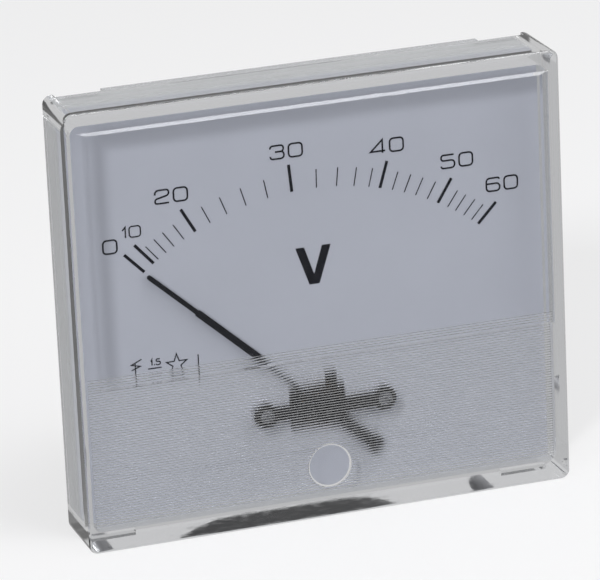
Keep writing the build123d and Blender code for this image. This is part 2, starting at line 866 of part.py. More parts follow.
save(terminal_studs(), "terminal_studs")
save(solder_tags(), "solder_tags")
washer = Circle(terminal_washer_r) - Circle(terminal_core_r + thread_gap)
nut = hexagon(terminal_nut_flats) - Circle(terminal_core_r + thread_gap)
save(terminal_pair(washer, washer_back_y, drum_length), "terminal_washers")
save(terminal_pair(nut, nut_back_y, washer_back_y), "terminal_lock_nuts")
save(terminal_pair(washer, clamp_washer_back_y, nut_back_y), "clamp_washers")
save(terminal_pair(nut, clamp_nut_back_y, clamp_washer_back_y), "clamp_nuts")
save(series_resistor(), "series_resistor")
save(coil_lead(winding_r / 2, iron_front_y, terminal_x, tag_top_z - tag_thick - lead_end_gap),
     "terminal_lead")
save(coil_lead(0, iron_front_y, wire_end_x - lead_r, wire_z - resistor_wire_r - lead_end_gap),
     "resistor_lead")
save(mounting_studs(), "mounting_studs")
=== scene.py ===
import math

import bmesh
import bpy
from mathutils import Color, Matrix, Vector


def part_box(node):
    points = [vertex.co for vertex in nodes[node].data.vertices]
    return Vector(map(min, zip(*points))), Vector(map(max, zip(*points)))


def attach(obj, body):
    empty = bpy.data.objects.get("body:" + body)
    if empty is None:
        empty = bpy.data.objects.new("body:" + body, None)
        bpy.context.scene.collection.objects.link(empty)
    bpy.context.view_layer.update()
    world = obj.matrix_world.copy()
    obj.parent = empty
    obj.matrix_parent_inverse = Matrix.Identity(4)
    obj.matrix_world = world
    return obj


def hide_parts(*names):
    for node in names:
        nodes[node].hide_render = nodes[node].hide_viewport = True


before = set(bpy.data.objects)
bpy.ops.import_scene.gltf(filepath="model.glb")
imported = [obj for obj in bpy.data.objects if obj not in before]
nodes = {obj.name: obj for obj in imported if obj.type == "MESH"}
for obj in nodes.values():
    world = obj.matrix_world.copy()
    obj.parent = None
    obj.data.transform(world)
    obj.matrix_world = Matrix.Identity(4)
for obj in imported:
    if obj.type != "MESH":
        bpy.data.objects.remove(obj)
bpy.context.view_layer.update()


# Base frame: the shallow tray that closes the back of the clear cover and carries the dial.
# It is one light grey injection moulding, with the faint grain and slightly uneven tone
# that the mould leaves on a satin surface.
MM = 0.001
SCREEN_WHITE = 255
NOISE_LOW = 0.3
NOISE_HIGH = 0.7
GRAIN_DETAIL = 3.0
CLOUD_DETAIL = 2.0
CLOUDS_PER_METRE = 70.0
MOULD_UNEVENNESS = 0.06


def screen_tone(*levels):
    """Red, green and blue levels of a screen, as the linear colour that a shader takes."""
    shares = [level / SCREEN_WHITE for level in levels]
    return (*Color(shares).from_srgb_to_scene_linear(), 1.0)


def feed(tree, socket, value):
    """Gives a node's socket a number, or links another node's socket to it."""
    if isinstance(value, float):
        socket.default_value = value
    else:
        tree.links.new(value, socket)


def arithmetic(tree, operation, first, second=0.0):
    """A Math node on one or two values, each a socket or a number."""
    node = tree.nodes.new("ShaderNodeMath")
    node.operation = operation
    for socket, value in zip(node.inputs, (first, second)):
        feed(tree, socket, value)
    return node.outputs["Value"]


def stretch(tree, value, low, high, value_low=NOISE_LOW, value_high=NOISE_HIGH):
    """Spreads part of a value's range, for a noise its middle, over the range from low to high."""
    node = tree.nodes.new("ShaderNodeMapRange")
    node.inputs["From Min"].default_value = value_low
    node.inputs["From Max"].default_value = value_high
    feed(tree, node.inputs["Value"], value)
    feed(tree, node.inputs["To Min"], low)
    feed(tree, node.inputs["To Max"], high)
    return node.outputs["Result"]


def skin_group(name, extra_inputs):
    """A node group that gives a surface its colour, roughness and fine height."""
    group = bpy.data.node_groups.new(name, "ShaderNodeTree")
    shared = [("Colour", "NodeSocketColor"), ("Roughness", "NodeSocketFloat")]
    sides = {"INPUT": shared + extra_inputs, "OUTPUT": shared + [("Height", "NodeSocketFloat")]}
    for side, sockets in sides.items():
        for label, kind in sockets:
            group.interface.new_socket(label, in_out=side, socket_type=kind)
    return group, group.nodes.new("NodeGroupInput").outputs, group.nodes.new("NodeGroupOutput").inputs


def noise(tree, vector, scale, detail):
    """A noise value on the given coordinates."""
    texture = tree.nodes.new("ShaderNodeTexNoise")
    texture.inputs["Detail"].default_value = detail
    feed(tree, texture.inputs["Scale"], scale)
    feed(tree, texture.inputs["Vector"], vector)
    return texture.outputs["Fac"]


def finish_skin(group, given, result, cloud, contrast, grain, unevenness):
    """Varies a skin's colour with one noise, and its roughness and height with another."""
    darkest = arithmetic(group, "SUBTRACT", 1.0, contrast)
    lightest = arithmetic(group, "ADD", 1.0, contrast)
    toned = group.nodes.new("ShaderNodeVectorMath")
    toned.operation = "SCALE"
    feed(group, toned.inputs[0], given["Colour"])
    feed(group, toned.inputs["Scale"], stretch(group, cloud, darkest, lightest))
    roughness_shift = stretch(group, grain, -unevenness, unevenness)
    feed(group, result["Colour"], toned.outputs["Vector"])
    feed(group, result["Roughness"], arithmetic(group, "ADD", given["Roughness"], roughness_shift))
    feed(group, result["Height"], grain)


mould_skin, given, result = skin_group(
    "mould_skin", [("Cloud", "NodeSocketFloat"), ("Grain", "NodeSocketFloat")]
)
place = mould_skin.nodes.new("ShaderNodeTexCoord").outputs["Object"]
grain = noise(mould_skin, place, given["Grain"], GRAIN_DETAIL)
cloud = noise(mould_skin, place, CLOUDS_PER_METRE, CLOUD_DETAIL)
finish_skin(mould_skin, given, result, cloud, given["Cloud"], grain, MOULD_UNEVENNESS)


def finish_material(name, group, skin_values, relief_depth, shader_values=None):
    """A material whose colour, roughness and fine relief come from one skin group."""
    material = bpy.data.materials.new(name)
    material.use_nodes = True
    tree = material.node_tree
    shader = tree.nodes["Principled BSDF"]
    for socket, value in (shader_values or {}).items():
        shader.inputs[socket].default_value = value
    skin = tree.nodes.new("ShaderNodeGroup")
    skin.node_tree = group
    for socket, value in skin_values.items():
        skin.inputs[socket].default_value = value
    relief = tree.nodes.new("ShaderNodeBump")
    relief.inputs["Distance"].default_value = relief_depth
    feed(tree, shader.inputs["Base Color"], skin.outputs["Colour"])
    feed(tree, shader.inputs["Roughness"], skin.outputs["Roughness"])
    feed(tree, relief.inputs["Height"], skin.outputs["Height"])
    feed(tree, shader.inputs["Normal"], relief.outputs["Normal"])
    return material


def dress(material, *names):
    """Gives a finish to pieces whose shape is right as it is."""
    for name in names:
        for material_slot in nodes[name].material_slots:
            material_slot.material = material


grey_moulding = finish_material(
    "grey_moulding",
    mould_skin,
    {"Colour": screen_tone(186, 188, 190), "Roughness": 0.42, "Cloud": 0.03, "Grain": 2600.0},
    relief_depth=0.02 * MM,
)
dress(grey_moulding, "base_frame")


# Rear drum, coil former and damping box: black phenolic mouldings. The drum's flange is screwed
# to the frame from inside. It goes through the panel hole and hides the movement, and its skin
# is a little paler and duller than that of the other two.
black_moulding = finish_material(
    "black_moulding",
    mould_skin,
    {"Colour": screen_tone(38, 38, 40), "Roughness": 0.36, "Cloud": 0.12, "Grain": 1800.0},
    relief_depth=0.03 * MM,
)
drum_moulding = finish_material(
    "drum_moulding",
    mould_skin,
    {"Colour": screen_tone(58, 59, 64), "Roughness": 0.42, "Cloud": 0.08, "Grain": 1800.0},
    relief_depth=0.03 * MM,
)
dress(black_moulding, "coil_bobbin", "damping_box", "damping_lid")
dress(drum_moulding, "rear_drum")


# Movement plate, bridge and spring arm: punched sheet parts in a thin matt black lacquer,
# which shows the sheet's fine roll marks where the light grazes it. The front bearing screw
# and its nut have the same lacquer.
STREAK_DETAIL = 4.0
DRAWN_UNEVENNESS = 0.1
ROLLED_ALONG_X = (300.0, 4000.0, 4000.0)
drawn_skin, given, result = skin_group(
    "drawn_skin", [("Streaks", "NodeSocketVector"), ("Contrast", "NodeSocketFloat")]
)
streak_place = drawn_skin.nodes.new("ShaderNodeVectorMath")
streak_place.operation = "MULTIPLY"
feed(drawn_skin, streak_place.inputs[0], drawn_skin.nodes.new("ShaderNodeTexCoord").outputs["Object"])
feed(drawn_skin, streak_place.inputs[1], given["Streaks"])
streaks = noise(drawn_skin, streak_place.outputs["Vector"], 1.0, STREAK_DETAIL)
finish_skin(drawn_skin, given, result, streaks, given["Contrast"], streaks, DRAWN_UNEVENNESS)

black_lacquer = finish_material(
    "black_lacquer",
    drawn_skin,
    {"Colour": screen_tone(14, 14, 17), "Roughness": 0.6, "Streaks": ROLLED_ALONG_X, "Contrast": 0.2},
    relief_depth=0.01 * MM,
    shader_values={"Specular IOR Level": 0.15},
)
dress(black_lacquer, "movement_plate", "bridge_bar", "spring_arm", "front_jewel_screw", "front_lock_nut")


# Screws, nuts and other small parts: turned from bright steel and brass, with the rings that the
# tool leaves. The two irons share the steel, the bridge screws are of a duller one, and the tags
# that the leads are soldered to are tinned.
TURNED_ABOUT_Y = (900.0, 9000.0, 900.0)
bright_steel = finish_material(
    "bright_steel",
    drawn_skin,
    {"Colour": screen_tone(196, 196, 198), "Roughness": 0.3, "Streaks": TURNED_ABOUT_Y, "Contrast": 0.1},
    relief_depth=0.008 * MM,
    shader_values={"Metallic": 1.0},
)
turned_brass = finish_material(
    "turned_brass",
    drawn_skin,
    {"Colour": screen_tone(205, 170, 100), "Roughness": 0.28, "Streaks": TURNED_ABOUT_Y, "Contrast": 0.1},
    relief_depth=0.008 * MM,
    shader_values={"Metallic": 1.0},
)
tinned_brass = finish_material(
    "tinned_brass",
    drawn_skin,
    {"Colour": screen_tone(190, 188, 180), "Roughness": 0.4, "Streaks": ROLLED_ALONG_X, "Contrast": 0.15},
    relief_depth=0.01 * MM,
    shader_values={"Metallic": 1.0},
)
dull_steel = finish_material(
    "dull_steel",
    drawn_skin,
    {"Colour": screen_tone(128, 129, 133), "Roughness": 0.42, "Streaks": TURNED_ABOUT_Y, "Contrast": 0.15},
    relief_depth=0.008 * MM,
    shader_values={"Metallic": 1.0},
)
dress(bright_steel, "drum_screws", "plate_screws", "damping_screws", "spindle")
dress(bright_steel, "moving_iron", "fixed_iron", "bridge_posts")
dress(dull_steel, "bridge_screws")
dress(turned_brass, "rear_jewel_screw", "rear_lock_nut", "pointer_collet", "hairspring_collet")
dress(turned_brass, "iron_carrier", "terminal_washers", "clamp_washers")
dress(tinned_brass, "solder_tags")


# Movement inside the drum: copper winding under dark varnish, with sleeved leads, the hairspring
# of bronze strip, the jewels, the dropping resistor and the aluminium vane on the spindle.
copper_wire = finish_material(
    "copper_wire",
    drawn_skin,
    {"Colour": screen_tone(30, 21, 18), "Roughness": 0.45, "Streaks": TURNED_ABOUT_Y, "Contrast": 0.25},
    relief_depth=0.05 * MM,
    shader_values={"Coat Weight": 0.3},
)
spring_bronze = finish_material(
    "spring_bronze",
    drawn_skin,
    {"Colour": screen_tone(104, 84, 64), "Roughness": 0.4, "Streaks": TURNED_ABOUT_Y, "Contrast": 0.1},
    relief_depth=0.005 * MM,
    shader_values={"Metallic": 1.0},
)
bare_aluminium = finish_material(
    "bare_aluminium",
    drawn_skin,
    {"Colour": screen_tone(205, 206, 208), "Roughness": 0.38, "Streaks": ROLLED_ALONG_X, "Contrast": 0.08},
    relief_depth=0.006 * MM,
    shader_values={"Metallic": 1.0},
)
resistor_glaze = finish_material(
    "resistor_glaze",
    mould_skin,
    {"Colour": screen_tone(178, 149, 124), "Roughness": 0.3, "Cloud": 0.1, "Grain": 1500.0},
    relief_depth=0.02 * MM,
)
lead_sleeve = finish_material(
    "lead_sleeve",
    mould_skin,
    {"Colour": screen_tone(217, 215, 194), "Roughness": 0.5, "Cloud": 0.08, "Grain": 2500.0},
    relief_depth=0.02 * MM,
)
jewel_stone = finish_material(
    "jewel_stone",
    mould_skin,
    {"Colour": screen_tone(150, 20, 50), "Roughness": 0.12, "Cloud": 0.1, "Grain": 3000.0},
    relief_depth=0.002 * MM,
    shader_values={"Coat Weight": 0.5},
)
dress(copper_wire, "coil_winding")
dress(spring_bronze, "hairspring")
dress(bare_aluminium, "damping_vane")
dress(resistor_glaze, "series_resistor")
dress(lead_sleeve, "terminal_lead", "resistor_lead")
dress(jewel_stone, "pivot_jewels")


# Mounting studs: plated steel with a rolled thread. Their heads are moulded into the corners of
# the frame. They go through the panel and take a nut each behind it.
ROUND_STEPS = 32
WELD_DISTANCE = 0.001 * MM
THREAD_STEPS = 24
THREAD_DEPTH_SHARE = 0.61
THREAD_WELD_SHARE = 0.02
ROOT_END = 0.2
CREST_START = 0.5
CREST_END = 0.7
TURNS_BEFORE_START = 2.02
SPARE_TURNS = 3
LEAD_IN_SHARE = 0.82
STUD_X = 36.5 * MM
STUD_Z = 31.5 * MM
STUD_R = 1.5 * MM
STUD_PITCH = 0.5 * MM
COLLAR_R = 1.9 * MM
HEAD_R = 2.6 * MM
HEAD_THICK = 1.0 * MM


def pour(part, sheet):
    """Adds a finished bmesh to another one."""
    mesh = bpy.data.meshes.new("part")
    part.to_mesh(mesh)
    part.free()
    sheet.from_mesh(mesh)
    bpy.data.meshes.remove(mesh)


def add_piece(name, sheet, material, body):
    """Turns a finished bmesh into a piece of the object that moves with a body."""
    mesh = bpy.data.meshes.new(name)
    sheet.to_mesh(mesh)
    sheet.free()
    mesh.materials.append(material)
    piece = bpy.data.objects.new(name, mesh)
    bpy.context.scene.collection.objects.link(piece)
    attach(piece, body)
    return piece


def turned_shape(x, z, outline, steps):
    """A shape turned about an axis along Y, from its outline as (radius, y) in metres."""
    shape = bmesh.new()
    knots = [shape.verts.new((x + reach, y, z)) for reach, y in outline]
    edges = [shape.edges.new(pair) for pair in zip(knots, knots[1:] + knots[:1])]
    bmesh.ops.spin(
        shape,
        geom=knots + edges,
        cent=(x, 0.0, z),
        axis=(0.0, 1.0, 0.0),
        angle=math.tau,
        steps=steps,
        use_merge=True,
    )
    bmesh.ops.remove_doubles(shape, verts=shape.verts[:], dist=WELD_DISTANCE)
    bmesh.ops.recalc_face_normals(shape, faces=shape.faces[:])
    return shape


def threaded_bar(x, z, radius, pitch, start_y, end_y):
    """A screw thread: one tooth wound round its axis, then cut flat at both ends."""
    core = radius - THREAD_DEPTH_SHARE * pitch
    turns = math.ceil((end_y - start_y) / pitch) + SPARE_TURNS
    tooth = [(core, 0.0), (core, ROOT_END), (radius, CREST_START), (radius, CREST_END), (core, 1.0)]
    bar = bmesh.new()
    knots = []
    for reach, along in tooth:
        knots.append(bar.verts.new((x + reach, start_y + (along - TURNS_BEFORE_START) * pitch, z)))
    edges = [bar.edges.new(pair) for pair in zip(knots, knots[1:])]
    bmesh.ops.spin(
        bar,
        geom=knots + edges,
        cent=(x, 0.0, z),
        axis=(0.0, 1.0, 0.0),
        dvec=(0.0, pitch / THREAD_STEPS, 0.0),
        angle=math.tau * turns,
        steps=THREAD_STEPS * turns,
    )
    bmesh.ops.remove_doubles(bar, verts=bar.verts[:], dist=THREAD_WELD_SHARE * pitch)
    for end, outward in ((start_y, -1.0), (end_y, 1.0)):
        cut = bmesh.ops.bisect_plane(
            bar,
            geom=bar.verts[:] + bar.edges[:] + bar.faces[:],
            plane_co=(0.0, end, 0.0),
            plane_no=(0.0, outward, 0.0),
            clear_outer=True,
        )["geom_cut"]
        bmesh.ops.scale(
            bar,
            verts=[part for part in cut if isinstance(part, bmesh.types.BMVert)],
            vec=(LEAD_IN_SHARE, 1.0, LEAD_IN_SHARE),
            space=Matrix.Translation((-x, 0.0, -z)),
        )
        bmesh.ops.edgeloop_fill(bar, edges=[part for part in cut if isinstance(part, bmesh.types.BMEdge)])
    bmesh.ops.recalc_face_normals(bar, faces=bar.faces[:])
    return bar


stud_low, stud_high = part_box("mounting_studs")
head_back = stud_low.y + HEAD_THICK
stud_head = [
    (0.0, stud_low.y),
    (HEAD_R, stud_low.y),
    (HEAD_R, head_back),
    (COLLAR_R, head_back),
    (COLLAR_R, 0.0),
    (0.0, 0.0),
]
studs = bmesh.new()
for x in (-STUD_X, STUD_X):
    for z in (-STUD_Z, STUD_Z):
        pour(turned_shape(x, z, stud_head, ROUND_STEPS), studs)
        pour(threaded_bar(x, z, STUD_R, STUD_PITCH, -STUD_PITCH, stud_high.y), studs)
plated_steel = finish_material(
    "plated_steel",
    mould_skin,
    {"Colour": screen_tone(190, 191, 194), "Roughness": 0.36, "Cloud": 0.05, "Grain": 900.0},
    relief_depth=0.002 * MM,
    shader_values={"Metallic": 1.0},
)
stud_piece = add_piece("stud_threads", studs, plated_steel, "housing")
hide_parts("mounting_studs")


# Terminals: a brass stud with a six-sided head goes through the drum's end, held by one nut.
# The outer nut clamps the wire, and the nuts' corners are turned off so they don't cut the hand.
TERMINAL_X = 13.0 * MM
TERMINAL_Z = 6.0 * MM
TERMINAL_R = 2.0 * MM
TERMINAL_CORE_R = 1.6 * MM
TERMINAL_PITCH = 0.7 * MM
TERMINAL_HEAD = 2.4 * MM
HEX_SIDES = 6
HEX_ACROSS_FLATS = 7.0 * MM
HEX_R = HEX_ACROSS_FLATS / math.sqrt(3.0)
HEX_CORNER = 0.55 * MM
terminal_low, terminal_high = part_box("terminal_studs")
head_seat = terminal_low.y + TERMINAL_HEAD
clamp_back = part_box("clamp_nuts")[1].y
thread_start = clamp_back - TERMINAL_PITCH
terminal_head = [(0.0, terminal_low.y), (HEX_R, terminal_low.y), (HEX_R, head_seat), (0.0, head_seat)]
terminal_core = [
    (0.0, head_seat),
    (TERMINAL_CORE_R, head_seat),
    (TERMINAL_CORE_R, clamp_back),
    (0.0, clamp_back),
]
terminals = bmesh.new()
for x in (-TERMINAL_X, TERMINAL_X):
    pour(turned_shape(x, TERMINAL_Z, terminal_head, HEX_SIDES), terminals)
    pour(turned_shape(x, TERMINAL_Z, terminal_core, ROUND_STEPS), terminals)
    pour(threaded_bar(x, TERMINAL_Z, TERMINAL_R, TERMINAL_PITCH, thread_start, terminal_high.y), terminals)
terminal_piece = add_piece("terminal_threads", terminals, turned_brass, "housing")
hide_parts("terminal_studs")

for nut_node in ("terminal_lock_nuts", "clamp_nuts"):
    nut_low, nut_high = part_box(nut_node)
    ring = [
        (TERMINAL_CORE_R, nut_low.y),
        (HEX_R, nut_low.y),
        (HEX_R, nut_high.y),
        (TERMINAL_CORE_R, nut_high.y),
    ]
    nuts = bmesh.new()
    for x in (-TERMINAL_X, TERMINAL_X):
        nut = turned_shape(x, TERMINAL_Z, ring, HEX_SIDES)
        outside = (TERMINAL_CORE_R + HEX_R) / 2
        corners = [v for v in nut.verts if math.hypot(v.co.x - x, v.co.z - TERMINAL_Z) > outside]
        bmesh.ops.bevel(
            nut,
            geom=corners,
            offset=HEX_CORNER,
            offset_type="OFFSET",
            affect="VERTICES",
            segments=1,
            profile=0.5,
            material=-1,
        )
        bmesh.ops.recalc_face_normals(nut, faces=nut.faces[:])
        pour(nut, nuts)
    nut_piece = add_piece(nut_node + "_chamfered", nuts, turned_brass, "housing")
    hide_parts(nut_node)


# Dial plate: sheet aluminium, punched out round the movement and sprayed a cool silver white
# with a fine orange peel. It lies on the frame's rim and the shoulders of the bridge posts.
dial_paint = finish_material(
    "dial_paint",
    mould_skin,
    {"Colour": screen_tone(178, 181, 191), "Roughness": 0.6, "Cloud": 0.012, "Grain": 3200.0},
    relief_depth=0.006 * MM,
)
dress(dial_paint, "dial_plate")


# Scale print: the marks, numbers and letter are one pass of blue-black screen ink, a thin raised
# film on the dial. The numbers are a wide square letter drawn with one even line. Sizes and
# places on the dial are in millimetres, across and up from its middle.
INK_FILM = 0.02 * MM
INK_OVERLAP = 0.005 * MM
CORNER_STEPS = 5
ROOM_BESIDE_END = 0.9
ROOM_BESIDE_CORNER = 0.45
dial_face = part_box("dial_plate")[0].y


def ink_line(sheet, points, width, corner=0.0, closed=False):
    """One line of ink through the given points, with rounded corners."""
    line = bmesh.new()
    knots = [line.verts.new((x * MM, dial_face + INK_OVERLAP, z * MM)) for x, z in points]
    for start, end in zip(knots, knots[1:] + knots[:1] if closed else knots[1:]):
        line.edges.new((start, end))
    ends = () if closed else (0, len(points) - 1)
    bends = [place for place in range(len(points)) if corner and place not in ends]
    for place in bends:
        room = []
        for near in (place - 1, place + 1):
            share = ROOM_BESIDE_END if near in ends else ROOM_BESIDE_CORNER
            room.append(share * math.dist(points[place], points[near % len(points)]))
        bmesh.ops.bevel(
            line,
            geom=[knots[place]],
            offset=min(corner, *room) * MM,
            offset_type="OFFSET",
            affect="VERTICES",
            segments=CORNER_STEPS,
            profile=0.5,
            material=-1,
        )
    wall = bmesh.ops.extrude_edge_only(line, edges=line.edges[:])["geom"]
    rim = [v for v in wall if isinstance(v, bmesh.types.BMVert)]
    bmesh.ops.translate(line, verts=rim, vec=(0.0, -INK_FILM - INK_OVERLAP, 0.0))
    bmesh.ops.recalc_face_normals(line, faces=line.faces[:])
    line.normal_update()
    for knot in line.verts:
        knot.co += knot.normal * knot.calc_shell_factor() * width * MM / 2
    bmesh.ops.solidify(line, geom=line.faces[:], thickness=width * MM)
    bmesh.ops.recalc_face_normals(line, faces=line.faces[:])
    pour(line, sheet)


print_ink = finish_material(
    "print_ink",
    mould_skin,
    {"Colour": screen_tone(13, 13, 21), "Roughness": 0.6, "Cloud": 0.1, "Grain": 5000.0},
    relief_depth=0.004 * MM,
    shader_values={"Specular IOR Level": 0.25},
)

SCALE_CENTRE_Z = -30.15
SCALE_INNER_R = 49.35
SCALE_SHIFT_X = 0.2
MARK_AIM_Z = -23.5
MAJOR_LENGTH = 5.0
MINOR_LENGTH = 3.4
MAJOR_WIDTH = 0.55
MINOR_WIDTH = 0.2
MAJOR_ANGLES = {0: -38.7, 10: -36.15, 20: -25.55, 30: -3.95, 40: 15.05, 50: 28.4, 60: 38.75}
MINOR_ANGLES = [
    (-34.9, -32.85, -30.8, -28.35),
    (-22.05, -18.2, -13.9, -9.15),
    (1.3, 5.6, 9.35, 12.6),
    (17.8, 20.5, 23.1, 25.85),
    (30.8, 32.75, 34.9, 36.95),
]


def scale_mark(sheet, angle, length, width):
    """One mark: its inner end is on the scale's circle, and it points away from (0, MARK_AIM_Z)."""
    turn = math.radians(angle)
    inner_x = SCALE_INNER_R * math.sin(turn)
    inner_z = SCALE_CENTRE_Z + SCALE_INNER_R * math.cos(turn)
    reach = math.hypot(inner_x, inner_z - MARK_AIM_Z)
    along_x = inner_x / reach
    along_z = (inner_z - MARK_AIM_Z) / reach
    start = (inner_x + SCALE_SHIFT_X, inner_z)
    end = (start[0] + along_x * length, start[1] + along_z * length)
    ink_line(sheet, [start, end], width)


marks = bmesh.new()
for angle in MAJOR_ANGLES.values():
    scale_mark(marks, angle, MAJOR_LENGTH, MAJOR_WIDTH)
for row in MINOR_ANGLES:
    for angle in row:
        scale_mark(marks, angle, MINOR_LENGTH, MINOR_WIDTH)
add_piece("scale_marks", marks, print_ink, "housing")

# Each digit is one or two lines, open or closed, in a box one wide and one high
DIGIT_LINES = {
    "0": [([(0, 0), (1, 0), (1, 1), (0, 1)], True)],
    "1": [([(0, 0.7), (0.27, 1), (0.27, 0)], False)],
    "2": [([(0, 0.66), (0, 1), (1, 1), (1, 0.58), (0, 0.34), (0, 0), (1, 0)], False)],
    "3": [
        ([(0, 0.78), (0, 1), (0.97, 1), (0.97, 0.53), (0.35, 0.53)], False),
        ([(0.7, 0.53), (1, 0.53), (1, 0), (0, 0), (0, 0.22)], False),
    ],
    "4": [([(1, 0.16), (-0.08, 0.16), (0.8, 1), (0.8, 0)], False)],
    "5": [([(0.95, 1), (0, 1), (0, 0.58), (1, 0.58), (1, 0), (0, 0), (0, 0.18)], False)],
    "6": [([(0.97, 0.86), (0.97, 1), (0, 1), (0, 0), (1, 0), (1, 0.57), (0.05, 0.57)], False)],
}
CORNER_SHARE = 0.27
SHARP_DIGITS = "14"
NARROW_DIGIT = "1"
NARROW_SHARE = 0.27
NUMBER_HEIGHT = 2.4
DIGIT_WIDTH = 2.5
DIGIT_GAP = 0.86
NUMBER_LINE = 0.32
SMALL_NUMBER = "10"
SMALL_SHARE = 0.81
NUMBER_PLACES = {
    "0": (-36.6, 13.75),
    "20": (-25.1, 21.5),
    "30": (-3.9, 26.6),
    "40": (14.7, 25.05),
    "50": (27.5, 20.6),
    "60": (35.8, 15.2),
    "10": (-32.6, 15.95),
}


def number(sheet, text, centre, height, digit_width, gap, line_width):
    """A number centred on a point of the dial."""
    widths = [digit_width * (NARROW_SHARE if digit == NARROW_DIGIT else 1.0) for digit in text]
    left = centre[0] - (sum(widths) + gap * (len(text) - 1)) / 2
    foot = centre[1] - height / 2
    for digit, width in zip(text, widths):
        corner = 0.0 if digit in SHARP_DIGITS else CORNER_SHARE * height
        for points, closed in DIGIT_LINES[digit]:
            spread = [(left + x * digit_width, foot + z * height) for x, z in points]
            ink_line(sheet, spread, line_width, corner, closed)
        left += width + gap


numbers = bmesh.new()
for text, centre in NUMBER_PLACES.items():
    share = SMALL_SHARE if text == SMALL_NUMBER else 1.0
    sizes = [share * size for size in (NUMBER_HEIGHT, DIGIT_WIDTH, DIGIT_GAP, NUMBER_LINE)]
    number(numbers, text, centre, *sizes)
add_piece("scale_numbers", numbers, print_ink, "housing")

LETTER_X = 0.2
LETTER_TOP = 8.625
LETTER_FOOT = 1.675
LETTER_HALF = 3.275
LETTER_STROKE = 1.62
LETTER_NOTCH = 1.863
LETTER_TOE = 0.9396
outline = [
    (-LETTER_HALF, LETTER_TOP),
    (LETTER_STROKE - LETTER_HALF, LETTER_TOP),
    (0.0, LETTER_FOOT + LETTER_NOTCH),
    (LETTER_HALF - LETTER_STROKE, LETTER_TOP),
    (LETTER_HALF, LETTER_TOP),
    (LETTER_TOE, LETTER_FOOT),
    (-LETTER_TOE, LETTER_FOOT),
]
letter = bmesh.new()
rim = [letter.verts.new(((LETTER_X + x) * MM, dial_face - INK_FILM, z * MM)) for x, z in outline]
letter_face = letter.faces.new(rim)
raised = bmesh.ops.extrude_face_region(letter, geom=[letter_face])["geom"]
bmesh.ops.translate(
    letter,
    verts=[v for v in raised if isinstance(v, bmesh.types.BMVert)],
    vec=(0.0, INK_FILM + INK_OVERLAP, 0.0),
)
bmesh.ops.recalc_face_normals(letter, faces=letter.faces[:])
add_piece("unit_letter", letter, print_ink, "housing")


# Dial signs: the row of standard signs at the lower left, for a moving-iron movement, accuracy
# class, test voltage and upright mounting, in the same ink as the scale.
SIGN_LINE = 0.22
MOVING_IRON_ZIGZAG = [(-32.1, -7.45), (-34.0, -8.3), (-32.4, -8.7), (-34.0, -9.3)]
MOVING_IRON_STEM = [(-33.3, -7.9), (-33.3, -11.2)]
CLASS_HEIGHT = 1.05
CLASS_WIDTH = 0.72
CLASS_DIGITS = {"1": (-30.35, -8.35), "5": (-29.1, -8.35)}
CLASS_POINT = [(-29.8, -8.9), (-29.8, -8.68)]
CLASS_UNDERLINE = [(-31.0, -9.43), (-28.55, -9.43)]
STAR_CENTRE = (-25.75, -9.35)
STAR_POINTS = 5
STAR_OUTER_R = 1.95
STAR_INNER_R = 0.78
UPRIGHT_LINE = [(-21.8, -8.1), (-21.8, -12.6)]
signs = bmesh.new()
ink_line(signs, MOVING_IRON_ZIGZAG, SIGN_LINE)
ink_line(signs, MOVING_IRON_STEM, SIGN_LINE)
for digit, centre in CLASS_DIGITS.items():
    number(signs, digit, centre, CLASS_HEIGHT, CLASS_WIDTH, 0.0, SIGN_LINE)
ink_line(signs, CLASS_POINT, SIGN_LINE)
ink_line(signs, CLASS_UNDERLINE, SIGN_LINE)
star = []
for step in range(STAR_POINTS):
    for half_step, reach in ((0.0, STAR_OUTER_R), (0.5, STAR_INNER_R)):
        turn = math.tau * (step + half_step) / STAR_POINTS
        star.append((STAR_CENTRE[0] + reach * math.sin(turn), STAR_CENTRE[1] + reach * math.cos(turn)))
ink_line(signs, star, SIGN_LINE, closed=True)
ink_line(signs, UPRIGHT_LINE, SIGN_LINE)
add_piece("dial_signs", signs, print_ink, "housing")


# Pointer: thin sheet aluminium, narrower towards its tip, sprayed matt black and carried on the
# spindle by its collet. The balance weight clipped on its tail is sprayed with it.
pointer_black = finish_material(
    "pointer_black",
    mould_skin,
    {"Colour": screen_tone(20, 21, 26), "Roughness": 0.6, "Cloud": 0.1, "Grain": 4000.0},
    relief_depth=0.004 * MM,
    shader_values={"Specular IOR Level": 0.25},
)
dress(pointer_black, "pointer", "balance_weight")


# Front cover: one clear acrylic moulding, pushed over the frame, which bends light as acrylic
# does. Where light has turned round in it many times, a painted glow of emission stands in for it,
# dim in the front wall and brighter in the side walls, and the boss's rounded edge shows a painted
# bright ring. The sloping rim of the raised window keeps part of the light off the dial.
WALL_CLEAR = 0.9
FRONT_CLEAR = 0.96
RIM_CLEAR = 0.45
RIM_DEPTH = 1.0 * MM
WINDOW_SIDE = 43.0 * MM
WINDOW_TOP = 36.45 * MM
WINDOW_FOOT = -6.0 * MM
# Depth of the front wall, and the levels, blend and turns of the painted glow in the cover
FRONT_WALL = 4.45 * MM
PAINTED_GLOW_BLEND = 0.9 * MM
PAINTED_GLOW_IN_FRONT = 0.01
PAINTED_GLOW_IN_SIDES = 0.55
TURNS_BEFORE_PAINTED_GLOW = 2.5
# Place, width and level of the painted bright ring on the boss's edge
BOSS_CENTRE = (0.55 * MM, 0.0, -31.4 * MM)
BOSS_EDGE_R = 3.85 * MM
BOSS_EDGE_WIDTH = 0.12 * MM
BOSS_EDGE_DEPTH = 4.55 * MM
PAINTED_BOSS_HIGHLIGHT = 0.62
ACROSS_AND_UP = (1.0, 0.0, 1.0)
cover_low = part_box("front_cover")[0]
clear_acrylic = finish_material(
    "clear_acrylic",
    mould_skin,
    {"Colour": screen_tone(250, 251, 253), "Roughness": 0.05, "Cloud": 0.004, "Grain": 500.0},
    relief_depth=0.0005 * MM,
    shader_values={"IOR": 1.49, "Transmission Weight": 1.0},
)
cover_tree = clear_acrylic.node_tree


